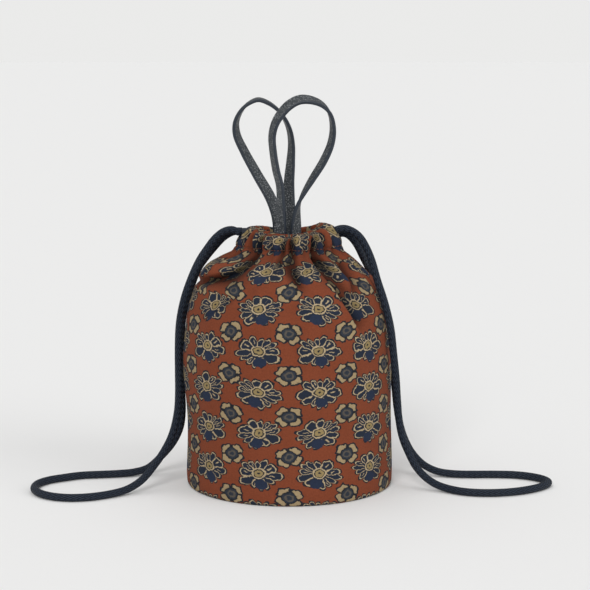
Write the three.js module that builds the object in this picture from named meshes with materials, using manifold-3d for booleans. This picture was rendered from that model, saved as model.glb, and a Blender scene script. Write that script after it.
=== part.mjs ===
// A drawstring pouch: a gathered cloth bucket with two cord loops and two leather handles.
// Millimetres, +Z up, front towards -Y, origin at the middle of the underside.
import * as THREE from 'three';
import Module from 'manifold-3d';
import { mergeVertices } from 'three/addons/utils/BufferGeometryUtils.js';

// Cloth and body
const clothThickness = 1.2;
const baseRadius = 90;
const waistInset = 0.6;
const waistHeight = 58;
const bellyOutset = 1;
const bellyHeight = 108;
const shoulderHeight = 143;
const shoulderInset = 1.4;
const leftFullness = 1.7;
const hemRounding = 2.5;
const pieceGap = 0.3;

// Casing, the hem round the mouth that holds the cords
const cordDiameter = 6.5;
const cordGap = 0.3;
const cordLoopHalfWidth = 30;
const cordLoopHalfDepth = 27;
const rimHeight = 221.3;
const leftRimLift = 4.5;
const rightRimLift = 7;
const pleatDepth = 9.2;
const rimRounding = 5;
const innerPleatDepth = 2;
const exitSlotWidth = 14.6;
const exitSlotHeight = 8.2;

// Base and lining
const boardThickness = 2;
const liningThickness = 0.8;
const liningGap = 0.6;

// Handles
const strapWidth = 10;
const strapThickness = 3;
const handleSpan = 50;
const handleRise = 113.5;
const strapTail = 25;
const strapCorner = 0.75;

// Worked out from the sizes above
const waistRadius = baseRadius - waistInset;
const bellyRadius = baseRadius + bellyOutset;
const shoulderRadius = baseRadius - shoulderInset;
const casingInside = 2 * cordDiameter + 3 * cordGap;
const casingHeight = casingInside + 2 * clothThickness;
const seamHeight = rimHeight - casingHeight;
const cordRoom = cordDiameter / 2 + cordGap;
const mouthHalfWidth = cordLoopHalfWidth - cordRoom - clothThickness;
const mouthHalfDepth = cordLoopHalfDepth - cordRoom - clothThickness;
const ridgeHalfWidth = cordLoopHalfWidth + cordRoom + clothThickness + pleatDepth;
const ridgeHalfDepth = cordLoopHalfDepth + cordRoom + clothThickness + pleatDepth;
const lowerCordLevel = seamHeight + clothThickness + cordGap + cordDiameter / 2;
const upperCordLevel = lowerCordLevel + cordDiameter + cordGap;
const shoulderRise = seamHeight - shoulderHeight;
const shoulderRun = shoulderRadius - ridgeHalfWidth;

// Pleats of the casing: angle in degrees, share of the full depth, half width in degrees
const pleats = [
  [-156, 0.6, 4.5], [-141, 0.45, 4], [-128.5, 1, 6], [-111, 0.25, 5], [-96.5, 0.75, 4],
  [-87, 1, 4], [-73, 0.3, 5], [-58.5, 1, 6], [-44, 0.5, 4.5], [-28, 0.6, 4.5],
  [17, 0.5, 4.5], [36, 0.9, 5.5], [57, 0.5, 4.5], [76, 1, 5.5], [98, 0.6, 5], [118, 1, 6],
  [138, 0.6, 4.5], [158, 0.7, 4.5],
];

// Broad folds of the shoulder. Each leaves the casing at an angle and swings on its way down by
// turn times the drop to the power of bend, where the whole shoulder is a drop of 1. It is cut in
// from start to end of that drop. Its two sides, in millimetres, may differ: a narrow side is an
// edge that lies over the cloth next to it. A depth below 0 is a bulge.
const broadFolds = [
  { angle: -130, turn: -600, bend: 3.2, depth: 9, before: 4.5, after: 8, start: 0, end: 0.52 },
  { angle: -93, turn: 26, bend: 1, depth: 6.5, before: 3.5, after: 5, start: 0, end: 0.5 },
  { angle: -104, turn: 60, bend: 1, depth: 4, before: 4, after: 3, start: 0, end: 0.28 },
  { angle: -66, turn: 21, bend: 1, depth: 6.5, before: 2, after: 11, start: 0, end: 1.05 },
  { angle: -60, turn: 900, bend: 3.2, depth: 8, before: 5, after: 6, start: 0, end: 0.3 },
  { angle: -27, turn: -30, bend: 1, depth: 5, before: 6, after: 5, start: 0.05, end: 0.62 },
  { angle: -90, turn: -64, bend: 1, depth: 1.8, before: 9, after: 2.5, start: 0.45, end: 1 },
  { angle: -158, turn: 0, bend: 1, depth: -5, before: 16, after: 14, start: 0.02, end: 0.36 },
  { angle: 30, turn: 24, bend: 1, depth: 6.5, before: 8, after: 2.5, start: 0, end: 0.8 },
  { angle: 60, turn: -20, bend: 1, depth: 6, before: 4, after: 6, start: 0, end: 0.5 },
  { angle: 80, turn: 16, bend: 1, depth: 7, before: 3, after: 10, start: 0, end: 0.95 },
  { angle: 118, turn: 500, bend: 3.2, depth: 8, before: 7, after: 4.5, start: 0, end: 0.5 },
  { angle: 138, turn: -22, bend: 1, depth: 5, before: 5, after: 5, start: 0, end: 0.6 },
  { angle: 157, turn: 12, bend: 1, depth: 4.5, before: 5, after: 4, start: 0, end: 0.55 },
];

// The cloth's outline: height, half width, half depth, depth of the pleats, and how much fuller
// the left side is than the middle
const shoulderAt = share => shoulderHeight + share * shoulderRise;
const spreadAt = share => ridgeHalfWidth + share * shoulderRun;
const clothOutline = [
  [0, baseRadius - hemRounding, baseRadius - hemRounding, 0, 0],
  [hemRounding * 0.3, baseRadius - hemRounding * 0.3, baseRadius - hemRounding * 0.3, 0, 0],
  [hemRounding, baseRadius, baseRadius, 0, 0],
  [waistHeight, waistRadius, waistRadius, 0, 0],
  [bellyHeight, bellyRadius, bellyRadius, 0, leftFullness],
  [shoulderHeight, shoulderRadius, shoulderRadius, 0, leftFullness],
  [shoulderAt(0.22), spreadAt(0.95), spreadAt(0.95), 0, 2],
  [shoulderAt(0.41), spreadAt(0.85), spreadAt(0.84), 0.03, 2.4],
  [shoulderAt(0.58), spreadAt(0.75), spreadAt(0.73), 0.08, 3.2],
  [shoulderAt(0.72), spreadAt(0.6), spreadAt(0.58), 0.25, 4.6],
  [shoulderAt(0.83), spreadAt(0.44), spreadAt(0.42), 0.5, 4.8],
  [shoulderAt(0.92), spreadAt(0.26), spreadAt(0.24), 0.85, 3],
  [seamHeight, spreadAt(0.08), spreadAt(0.06), 1.15, 0.8],
  [seamHeight + casingHeight * 0.25, ridgeHalfWidth + 1, ridgeHalfDepth + 1, 1.08, 0],
  [seamHeight + casingHeight * 0.6, ridgeHalfWidth, ridgeHalfDepth, 1, 0],
  [rimHeight - 0.8 * rimRounding, ridgeHalfWidth - 0.6, ridgeHalfDepth - 0.6, 0.85, 0],
];

const radians = degrees => degrees * Math.PI / 180;
const easeBetween = (from, to, value) => THREE.MathUtils.smoothstep(value, from, to);
const wrapAngle = angle => Math.atan2(Math.sin(angle), Math.cos(angle));

// Angles at which the cloth's outline is worked out: the middle and both flanks of each pleat,
// with the wider gaps between them filled evenly
const widestStep = 7;
const narrowestStep = 2.2;
const pleatAngles = pleats
  .flatMap(([angle, , half]) => [angle - 1.1 * half, angle, angle + 1.1 * half])
  .filter((angle, index, all) => index === 0 || angle - all[index - 1] > narrowestStep);
const clothAngles = pleatAngles.flatMap((angle, index) => {
  const next = index + 1 < pleatAngles.length ? pleatAngles[index + 1] : pleatAngles[0] + 360;
  const steps = Math.ceil((next - angle) / widestStep);
  return Array.from({ length: steps }, (_, step) => radians(angle + (next - angle) * step / steps));
});

// How deep the pleats are cut at an angle, from 0 to 1
function pleatShare(angle) {
  const share = pleats.reduce((sum, [middle, depth, half]) => {
    const away = wrapAngle(angle - radians(middle)) / radians(half);
    return sum + depth * Math.exp(-away * away);
  }, 0);
  return Math.min(share, 1);
}

// Inward depth of the broad folds at an angle and height, where the cloth's radius is about reach
function broadFoldDepth(angle, height, reach) {
  const drop = Math.max((seamHeight - height) / shoulderRise, 0);
  return broadFolds.reduce((depth, fold) => {
    const middle = radians(fold.angle + fold.turn * drop ** fold.bend);
    const swing = radians(fold.turn * fold.bend * drop ** (fold.bend - 1)) * reach / shoulderRise;
    const away = wrapAngle(angle - middle) * reach / Math.hypot(1, swing);
    const side = away / (away < 0 ? fold.before : fold.after);
    const cutIn = easeBetween(fold.start, fold.start + 0.14, drop);
    const cutOut = 1 - easeBetween(fold.end - 0.22, fold.end, drop);
    return depth + fold.depth * Math.exp(-side * side) * cutIn * cutOut;
  }, 0);
}

// The rim stands higher at the two sides, where the cords pull it up
function rimLift(angle) {
  const side = Math.cos(angle);
  return side * side * ((rightRimLift + leftRimLift) / 2 + side * (rightRimLift - leftRimLift) / 2);
}
const liftShare = height => easeBetween(seamHeight, rimHeight - clothThickness, height);

// A point of the cloth's outer face, or of a face a given depth inside it
function clothPoint(station, angle, depth) {
  const [height, halfWidth, halfDepth, gathers, fuller] = station;
  const inward = depth + gathers * pleatDepth * pleatShare(angle)
    + broadFoldDepth(angle, height, halfWidth) + fuller * Math.cos(angle);
  return new THREE.Vector3(
    (halfWidth - inward) * Math.cos(angle),
    (halfDepth - inward) * Math.sin(angle),
    height + rimLift(angle) * liftShare(height));
}
const clothRing = (station, depth) => clothAngles.map(angle => clothPoint(station, angle, depth));

// A point of the casing's inner face, or of a face a given depth behind it
function mouthPoint(height, angle, depth) {
  const outward = depth - innerPleatDepth * pleatShare(angle);
  return new THREE.Vector3(
    (mouthHalfWidth + outward) * Math.cos(angle),
    (mouthHalfDepth + outward) * Math.sin(angle),
    height + rimLift(angle) * liftShare(height));
}
const mouthRing = (height, depth) => clothAngles.map(angle => mouthPoint(height, angle, depth));

// A closed solid from rings of points. A ring of one point closes an end, and a loop of rings
// closes on itself. Rings turn so that their way round, crossed with the way along, points out.
function ringSolid(rings) {
  const positions = [];
  const starts = rings.map(ring => {
    const start = positions.length / 3;
    ring.forEach(point => positions.push(point.x, point.y, point.z));
    return start;
  });
  const isLoop = rings[0].length > 1;
  const indices = [];
  for (let k = 0; k < rings.length - (isLoop ? 0 : 1); k += 1) {
    const next = (k + 1) % rings.length;
    const count = Math.max(rings[k].length, rings[next].length);
    for (let j = 0; j < count; j += 1) {
      const a = starts[k] + j % rings[k].length;
      const b = starts[k] + (j + 1) % rings[k].length;
      const c = starts[next] + (j + 1) % rings[next].length;
      const d = starts[next] + j % rings[next].length;
      if (a !== b) indices.push(a, b, c);
      if (c !== d) indices.push(a, c, d);
    }
  }
  const geometry = new THREE.BufferGeometry();
  geometry.setAttribute('position', new THREE.Float32BufferAttribute(positions, 3));
  geometry.setIndex(indices);
  return geometry;
}

const wasm = await Module();
wasm.setup();

// Boolean cutting of one closed geometry by others
function toManifold(geometry) {
  const plain = geometry.clone();
  plain.deleteAttribute('normal');
  plain.deleteAttribute('uv');
  const merged = mergeVertices(plain, 1e-4);
  return new wasm.Manifold(new wasm.Mesh({
    numProp: 3,
    vertProperties: new Float32Array(merged.attributes.position.array),
    triVerts: new Uint32Array(merged.index.array),
  }));
}

function cutGeometry(geometry, cutters) {
  const result = cutters.reduce((solid, cutter) => solid.subtract(toManifold(cutter)), toManifold(geometry));
  const mesh = result.getMesh();
  const cut = new THREE.BufferGeometry();
  cut.setAttribute('position', new THREE.BufferAttribute(mesh.vertProperties, 3));
  cut.setIndex(new THREE.BufferAttribute(mesh.triVerts, 1));
  return cut;
}

// The panel runs from the base seam up over the casing and down to the hem behind it
function bodyPanel() {
  const stations = clothOutline;
  const shoulderedRim = [
    [rimHeight - 0.2 * rimRounding, ridgeHalfWidth - 0.6 * rimRounding,
      ridgeHalfDepth - 0.6 * rimRounding, 0.5, 0],
    [rimHeight, ridgeHalfWidth - 1.4 * rimRounding, ridgeHalfDepth - 1.4 * rimRounding, 0.25, 0],
  ];
  const wallStations = stations.filter(station => station[0] < seamHeight);
  const seamStation = stations.find(station => station[0] === seamHeight);
  const outer = stations.map(station => clothRing(station, 0));
  const rim = [...shoulderedRim.map(station => clothRing(station, 0)),
    mouthRing(rimHeight, 2 * clothThickness)];
  const hem = [rimHeight - clothThickness, seamHeight + casingHeight / 2, seamHeight]
    .map(height => mouthRing(height, 0));
  const inner = [...wallStations, seamStation].reverse()
    .map(station => clothRing(station, clothThickness));
  const solid = ringSolid([...outer, ...rim, ...hem, ...inner]);

  const floorHeight = seamHeight + clothThickness;
  const ceilingHeight = rimHeight - clothThickness;
  const casing = stations.filter(station => station[0] > floorHeight && station[0] < ceilingHeight);
  const lower = [floorHeight, spreadAt(0.05), spreadAt(0.03), 1.12, 0];
  const upper = [ceilingHeight, ridgeHalfWidth - 1.3 * rimRounding,
    ridgeHalfDepth - 1.3 * rimRounding, 0.25, 0];
  const outerWall = [lower, ...casing, upper].map(station => clothRing(station, clothThickness));
  const innerWall = [ceilingHeight, floorHeight].map(height => mouthRing(height, clothThickness));
  const tunnel = ringSolid([...outerWall, ...innerWall]);
  return cutGeometry(solid, [tunnel, exitSlot(-1, upperCordLevel), exitSlot(1, lowerCordLevel)]);
}

// The slot in the casing's outer face where both strands of a cord come out
function exitSlot(side, level) {
  const reach = 2 * pleatDepth;
  const slot = new THREE.BoxGeometry(reach, exitSlotWidth, exitSlotHeight);
  const height = level + rimLift(side > 0 ? 0 : Math.PI);
  return slot.translate(side * (ridgeHalfWidth - 0.25 * reach), 0, height);
}

// A disc that lies inside the panel's wall
function disc(radius, bottom, thickness) {
  const geometry = new THREE.CylinderGeometry(radius, radius, thickness, clothAngles.length);
  return geometry.rotateX(Math.PI / 2).translate(0, 0, bottom + thickness / 2);
}

const boardBottom = clothThickness + pieceGap;
const liningBottom = boardBottom + boardThickness + pieceGap;

// The lining is a smooth bag that hangs inside the folds, from the hem down to the board
function lining() {
  const foldRoom = ([height, halfWidth]) =>
    Math.max(...clothAngles.map(angle => broadFoldDepth(angle, height, halfWidth)));
  const segments = 30;
  const ringAt = (height, halfWidth, halfDepth) => Array.from({ length: segments }, (_, index) => {
    const angle = index * 2 * Math.PI / segments;
    return new THREE.Vector3(halfWidth * Math.cos(angle), halfDepth * Math.sin(angle), height);
  });
  const inset = clothThickness + liningGap;
  const profile = clothOutline
    .filter(station => station[0] > liningBottom && station[0] <= seamHeight)
    .map(station => {
      const [height, halfWidth, halfDepth, gathers, fuller] = station;
      const room = inset + gathers * pleatDepth + foldRoom(station) + fuller;
      return [height, halfWidth - room, halfDepth - room];
    });
  profile[profile.length - 1][0] = seamHeight - pieceGap;
  const floorRadius = baseRadius - inset;
  const outer = [[liningBottom, floorRadius, floorRadius], ...profile];
  const inner = outer.map(([height, halfWidth, halfDepth]) =>
    [height, halfWidth - liningThickness, halfDepth - liningThickness]).reverse();
  inner[inner.length - 1][0] = liningBottom + liningThickness;
  const pole = height => [new THREE.Vector3(0, 0, height)];
  return ringSolid([
    pole(liningBottom),
    ...outer.map(row => ringAt(...row)),
    ...inner.map(row => ringAt(...row)),
    pole(liningBottom + liningThickness),
  ]);
}

// Handle outlines between the feet: sideways in spans, height above the rim in rises, and how far
// the strap's outer face turns towards the front, in degrees
const frontLoop = [
  [-0.142, 0.22, 56], [-0.158, 0.36, 42], [-0.225, 0.48, 32], [-0.277, 0.63, 27],
  [-0.29, 0.73, 28], [-0.25, 0.815, 32], [-0.165, 0.885, 38], [0, 0.965, 44],
  [0.185, 1.005, 42], [0.39, 1, 30], [0.575, 0.962, 12], [0.695, 0.895, -6], [0.74, 0.787, -18],
  [0.705, 0.675, -25], [0.58, 0.547, -28], [0.39, 0.412, -22], [0.24, 0.3, 0], [0.15, 0.21, 30],
];
const backLoop = [
  [-0.225, 0.12, -72], [-0.325, 0.24, -58], [-0.565, 0.426, -46], [-0.785, 0.603, -36],
  [-0.915, 0.733, -28], [-0.92, 0.829, -16], [-0.82, 0.92, -4], [-0.69, 0.97, 4],
  [-0.54, 0.995, 8], [-0.386, 0.975, 6], [-0.212, 0.922, 0], [-0.084, 0.85, -8],
  [0, 0.763, -16], [0.036, 0.656, -24], [0.02, 0.503, -40], [-0.006, 0.348, -60],
];
const frontFeet = [-6.9, 5.7];
const backFeet = [-9.7, 0.6];

// Distance from the middle of the mouth to its front (-1) or back (1) wall, at a place sideways
function mouthWallAt(x, side) {
  const wall = mouthRing(rimHeight, 0).filter(point => point.y * side > 0).sort((p, q) => p.x - q.x);
  const index = Math.max(1, wall.findIndex(point => point.x >= x));
  const [before, after] = [wall[index - 1], wall[index]];
  const share = (x - before.x) / (after.x - before.x);
  return Math.abs(before.y + share * (after.y - before.y));
}

// How near that wall a strap can lie with its feet at the given places
function footDepth(feet, side) {
  const flatHalf = strapWidth / 2 - strapCorner;
  const samples = 9;
  const walls = feet.flatMap(foot => Array.from({ length: samples },
    (_, index) => mouthWallAt(foot + flatHalf * (2 * index / (samples - 1) - 1), side)));
  return side * (Math.min(...walls) - pieceGap - strapThickness / 2);
}

// A flat strap swept along its loop, turning from face on at its feet to edge on at the top
function handle(loop, feet, depth, footTurn) {
  const rows = [
    [feet[0], seamHeight + casingHeight - strapTail, footTurn],
    [feet[0], seamHeight, footTurn],
    [feet[0], rimHeight + 4, footTurn],
    ...loop.map(([sideways, rise, turn]) =>
      [sideways * handleSpan, rimHeight + rise * handleRise, turn]),
    [feet[1], rimHeight + 4, footTurn],
    [feet[1], seamHeight, footTurn],
    [feet[1], seamHeight + casingHeight - strapTail, footTurn],
  ];
  const path = new THREE.CatmullRomCurve3(rows.map(([x, z]) => new THREE.Vector3(x, depth, z)));
  const turns = new THREE.CatmullRomCurve3(rows.map(([, , turn]) => new THREE.Vector3(turn, 0, 0)));
  const front = new THREE.Vector3(0, -1, 0);
  const corner = strapCorner;
  const halfWidth = strapWidth / 2;
  const halfThick = strapThickness / 2;
  const section = [
    [halfWidth, halfThick - corner], [halfWidth - corner, halfThick],
    [corner - halfWidth, halfThick], [-halfWidth, halfThick - corner],
    [-halfWidth, corner - halfThick], [corner - halfWidth, -halfThick],
    [halfWidth - corner, -halfThick], [halfWidth, corner - halfThick],
  ];
  const steps = 40;
  const rings = Array.from({ length: steps + 1 }, (_, index) => {
    const share = index / steps;
    const centre = path.getPoint(share);
    const along = path.getTangent(share);
    const turn = radians(turns.getPoint(share).x);
    const outward = new THREE.Vector3().crossVectors(front, along).normalize();
    const facing = outward.multiplyScalar(Math.cos(turn)).addScaledVector(front, Math.sin(turn));
    const across = new THREE.Vector3().crossVectors(facing, along).normalize();
    return section.map(([w, t]) => centre.clone().addScaledVector(across, w).addScaledVector(facing, t));
  });
  const ends = [path.getPoint(0), path.getPoint(1)];
  return ringSolid([[ends[0]], ...rings, [ends[1]]]);
}

// The route of each cord's free loop, from one strand at the exit to the other
const exitReach = ridgeHalfWidth - 3;
const strandOffset = 3.75;
const leftFreeRoute = [
  [-exitReach - cordGap, -strandOffset, 221.1], [-44.5, -3.75, 221.4], [-49.5, -3.8, 223.2],
  [-56.4, -4.2, 221.8],
  [-64.2, -5.2, 215.8], [-70.9, -7, 207.2], [-77.6, -11, 197.2], [-84.9, -18, 181.2],
  [-91, -17, 163], [-95, -13, 143], [-96.3, -11, 122], [-96.4, -11, 99], [-96.4, -12, 81],
  [-97.6, -14, 64], [-101.9, -19, 46], [-108.7, -25.5, 32.5], [-117.5, -32, 20.5],
  [-127, -40, 10.5], [-138, -49, 5], [-151, -59.5, 3.5], [-168, -69.5, 3.45],
  [-185, -72.4, 3.45], [-201, -67.5, 3.45], [-212.6, -57, 3.45], [-219.4, -43, 3.45],
  [-219, -26, 3.45], [-211.6, -13.4, 3.45], [-200, -4.6, 3.45], [-184, 4.3, 3.45],
  [-167, 7.6, 3.45], [-151, 10.6, 3.5], [-138, 14.4, 4], [-126.6, 19, 6.6], [-115.6, 22, 15.8],
  [-104.6, 22.5, 28.6], [-97.8, 21, 43], [-95.6, 20, 58.4], [-95.8, 19, 75], [-95.8, 19, 93],
  [-95.7, 19, 115], [-94.9, 19, 138], [-91.6, 21, 155.5], [-86.6, 24, 171],
  [-80.4, 22, 186], [-72.5, 13, 198], [-64.5, 7.5, 208], [-57, 4.8, 216], [-50, 3.9, 220.2],
  [-44.8, 3.75, 221.2],
  [-exitReach - cordGap, strandOffset, 221.1],
];
const rightFreeRoute = [
  [exitReach + cordGap, -strandOffset, 216.8], [44.6, -3.75, 216.95], [48.2, -3.8, 219.4],
  [52, -4, 221.4], [56.5, -4.3, 220.2], [61.2, -5, 215.6], [66.3, -7, 207.4],
  [71, -12, 197], [75.4, -22, 182], [81.4, -29.3, 163.5],
  [86.6, -31.3, 142], [89.3, -31.5, 119.5], [91.8, -28, 97.5], [93.4, -23, 78],
  [95, -20, 61], [98.4, -19.6, 43.5], [103.6, -22, 30.6], [109.6, -26, 19.4], [117, -30.5, 11.4],
  [126.4, -36.5, 5.9], [138.1, -44.4, 3.6], [151, -53, 3.45], [167, -56.3, 3.45],
  [187, -53.8, 3.45], [206, -45, 3.45], [220, -32.5, 3.45], [226, -21, 3.45],
  [223.4, -10.5, 3.45], [215, -1, 3.45], [202, 5.6, 3.45], [183.3, 8, 3.45],
  [165, 7.9, 3.45], [151, 8.4, 3.5], [140, 10.8, 3.8], [130.7, 14, 5], [120.3, 19, 9.2],
  [110.5, 23.4, 18.4], [103.4, 26, 31], [98.9, 27, 45], [96, 27.5, 62], [94, 29, 81],
  [91.2, 33, 104], [87.8, 37.5, 127], [83.2, 40.4, 149], [77, 40, 166], [70.8, 33, 183.5],
  [64.6, 17, 197], [59, 7, 209.4], [53.6, 4.3, 215.6], [48.4, 3.8, 217.6], [44.6, 3.75, 216.95],
  [exitReach + cordGap, strandOffset, 216.8],
];

function cordSection() {
  const sides = 6;
  const corners = Array.from({ length: sides }, (_, index) => {
    const angle = 2 * Math.PI * index / sides;
    return new THREE.Vector2(cordDiameter / 2 * Math.cos(angle), cordDiameter / 2 * Math.sin(angle));
  });
  return new THREE.Shape(corners);
}

function cordAlong(points, steps) {
  const extrudePath = new THREE.CatmullRomCurve3(points.map(point => new THREE.Vector3(...point)));
  return new THREE.ExtrudeGeometry(cordSection(), { steps, extrudePath, bevelEnabled: false });
}

// The stretch of a cord inside the casing: once round the mouth, both ends turned out at the exit
function cordRun(side, level) {
  const exitAngle = side > 0 ? 0 : Math.PI;
  const openHalf = Math.asin(10 / cordLoopHalfDepth);
  const arcSteps = 20;
  const arc = Array.from({ length: arcSteps + 1 }, (_, index) => {
    const angle = exitAngle - side * (openHalf + (2 * Math.PI - 2 * openHalf) * index / arcSteps);
    return [
      cordLoopHalfWidth * Math.cos(angle),
      cordLoopHalfDepth * Math.sin(angle),
      level + rimLift(angle),
    ];
  });
  const turnOut = [
    [exitReach, strandOffset], [cordLoopHalfWidth + 6, strandOffset],
    [cordLoopHalfWidth + 2.2, strandOffset + 0.6], [cordLoopHalfWidth - 0.8, strandOffset + 2.9],
  ];
  const heightAt = (x, y) => level + rimLift(Math.atan2(y, side * x));
  const start = turnOut.map(([x, y]) => [side * x, -y, heightAt(x, -y)]);
  const finish = turnOut.map(([x, y]) => [side * x, y, heightAt(x, y)]).reverse();
  return cordAlong([...start, ...arc, ...finish], 60);
}

const printedCloth = new THREE.MeshStandardMaterial({ color: 0x8c482e, roughness: 0.85, metalness: 0 });
const liningCloth = new THREE.MeshStandardMaterial({ color: 0x2a2d33, roughness: 0.9, metalness: 0 });
const boardStuff = new THREE.MeshStandardMaterial({ color: 0x6b6257, roughness: 0.9, metalness: 0 });
const leather = new THREE.MeshStandardMaterial({ color: 0x34393f, roughness: 0.55, metalness: 0 });
const cordStuff = new THREE.MeshStandardMaterial({ color: 0x1f2733, roughness: 0.8, metalness: 0 });

const pouch = new THREE.Group();

function add(name, geometry, material) {
  const mesh = new THREE.Mesh(geometry, material);
  mesh.name = name;
  pouch.add(mesh);
}

add('body_panel', bodyPanel(), printedCloth);
add('base_panel', disc(baseRadius - hemRounding - clothThickness - pieceGap, 0, clothThickness), printedCloth);
add('base_board', disc(baseRadius - clothThickness - liningGap, boardBottom, boardThickness), boardStuff);
add('lining', lining(), liningCloth);
add('handle_front', handle(frontLoop, frontFeet, footDepth(frontFeet, -1), 90), leather);
add('handle_back', handle(backLoop, backFeet, footDepth(backFeet, 1), -90), leather);
add('cord_left_run', cordRun(-1, upperCordLevel), cordStuff);
add('cord_right_run', cordRun(1, lowerCordLevel), cordStuff);
add('cord_left_free', cordAlong(leftFreeRoute, 80), cordStuff);
add('cord_right_free', cordAlong(rightFreeRoute, 80), cordStuff);

export default pouch;
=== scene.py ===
# Drawstring pouch: gathered printed cloth, two leather loop handles, two braided cord loops
import math

import bpy
import numpy as np
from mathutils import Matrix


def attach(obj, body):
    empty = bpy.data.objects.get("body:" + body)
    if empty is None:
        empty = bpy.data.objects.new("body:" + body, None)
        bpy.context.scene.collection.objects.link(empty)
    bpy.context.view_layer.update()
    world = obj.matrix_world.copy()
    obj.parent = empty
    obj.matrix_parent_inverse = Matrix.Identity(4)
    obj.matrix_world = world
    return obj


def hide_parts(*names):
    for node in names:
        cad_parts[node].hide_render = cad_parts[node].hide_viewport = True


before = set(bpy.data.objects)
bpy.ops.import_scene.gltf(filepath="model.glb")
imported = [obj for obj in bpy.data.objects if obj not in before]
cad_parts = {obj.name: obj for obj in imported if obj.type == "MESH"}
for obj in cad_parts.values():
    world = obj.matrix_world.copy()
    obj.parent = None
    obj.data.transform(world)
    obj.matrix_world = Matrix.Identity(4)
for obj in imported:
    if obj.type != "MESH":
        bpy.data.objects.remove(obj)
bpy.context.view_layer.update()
# shapes are worked out in millimetres and stored in metres
metre = 0.001

# Camera and cords

cameraView = {
    "place": (0.0049, -1.5, 0.385),
    "pitchDown": 8.32,
    "lens": 106.2,
    "sensor": 36,
    "nearest": 0.05,
}

cordLook = {
    "diameter": 6.5,
    "sides": 24,
    "step": 1.5,
    "braidStrands": 10,
    "braidPitch": 2.4,
    # painted shade for the braid's grooves and a painted highlight for its crowns
    "groove": (0.0012, 0.0018, 0.0032, 1),
    "paintedLitCrown": (0.0160, 0.0280, 0.0520, 1),
    "roughness": 0.6,
    "braidHeight": 0.0006,
}

# centre lines measured in the photo, from the front strand's exit out and back to the other
leftCordRoute = [
    (-41.25, -3.75, 221.1), (-44.5, -3.75, 221.4), (-49.5, -3.8, 223.2), (-56.4, -4.2, 221.8),
    (-64.2, -5.2, 215.8), (-70.9, -7, 207.2), (-77.6, -11, 197.2), (-84.9, -18, 181.2),
    (-91, -17, 163), (-95, -13, 143), (-96.3, -11, 122), (-96.4, -11, 99), (-96.4, -12, 81),
    (-97.6, -14, 64), (-101.9, -19, 46), (-108.7, -25.5, 32.5), (-117.5, -32, 20.5),
    (-127, -40, 10.5), (-138, -49, 5), (-151, -59.5, 3.5), (-168, -69.5, 3.45), (-185, -72.4, 3.45),
    (-201, -67.5, 3.45), (-212.6, -57, 3.45), (-219.4, -43, 3.45), (-219, -26, 3.45),
    (-211.6, -13.4, 3.45), (-200, -4.6, 3.45), (-184, 4.3, 3.45), (-167, 7.6, 3.45),
    (-151, 10.6, 3.5), (-138, 14.4, 4), (-126.6, 19, 6.6), (-115.6, 22, 15.8), (-104.6, 22.5, 28.6),
    (-97.8, 21, 43), (-95.6, 20, 58.4), (-95.8, 19, 75), (-95.8, 19, 93), (-95.7, 19, 115),
    (-94.9, 19, 138), (-91.6, 21, 155.5), (-86.6, 24, 171), (-80.4, 22, 186), (-72.5, 13, 198),
    (-64.5, 7.5, 208), (-57, 4.8, 216), (-50, 3.9, 220.2), (-44.8, 3.75, 221.2),
    (-41.25, 3.75, 221.1),
]
rightCordRoute = [
    (39.6, -3.75, 222.6), (43.8, -3.8, 224), (48.1, -3.9, 224.2), (52.4, -4, 223),
    (56.7, -4.3, 220.6), (61.2, -5, 216.6), (66.4, -7, 208.2), (71, -12, 197.4), (75.4, -22, 182),
    (81.4, -29.3, 163.5), (86.6, -31.3, 142), (89.3, -31.5, 119.5), (91.8, -28, 97.5),
    (93.4, -23, 78), (95, -20, 61), (98.4, -19.6, 43.5), (103.6, -22, 30.6), (109.6, -26, 19.4),
    (117, -30.5, 11.4), (126.4, -36.5, 5.9), (138.1, -44.4, 3.6), (151, -53, 3.45),
    (167, -56.3, 3.45), (187, -53.8, 3.45), (206, -45, 3.45), (220, -32.5, 3.45), (226, -21, 3.45),
    (223.4, -10.5, 3.45), (215, -1, 3.45), (202, 5.6, 3.45), (183.3, 8, 3.45), (165, 7.9, 3.45),
    (151, 8.4, 3.5), (140, 10.8, 3.8), (130.7, 14, 5), (120.3, 19, 9.2), (110.5, 23.4, 18.4),
    (103.4, 26, 31), (98.9, 27, 45), (96, 27.5, 62), (94, 29, 81), (91.2, 33, 104),
    (87.8, 37.5, 127), (83.2, 40.4, 149), (77, 40, 166), (70.8, 33, 183.5), (64.6, 17, 197),
    (58.8, 7, 209), (54.2, 4.6, 215.2), (49.8, 3.9, 218.6), (45.4, 3.8, 219.4),
    (40.6, 3.75, 217.8),
]


def makeCamera(view):
    data = bpy.data.cameras.new("camera")
    data.lens = view["lens"]
    data.sensor_width = view["sensor"]
    data.clip_start = view["nearest"]
    camera = bpy.data.objects.new("camera", data)
    camera.location = view["place"]
    camera.rotation_euler = (math.radians(90 - view["pitchDown"]), 0, 0)
    bpy.context.scene.collection.objects.link(camera)
    bpy.context.scene.camera = camera


# vectors divided by their own lengths
def unit(vectors):
    return vectors / np.linalg.norm(vectors, axis=-1, keepdims=True)


# length walked from the first point to each point
def lengthAlong(points):
    return np.concatenate([[0], np.cumsum(np.linalg.norm(np.diff(points, axis=0), axis=1))])


# every column of a table of points read at given lengths
def readAt(at, travelled, table):
    return np.stack([np.interp(at, travelled, column) for column in table.T], axis=-1)


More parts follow.
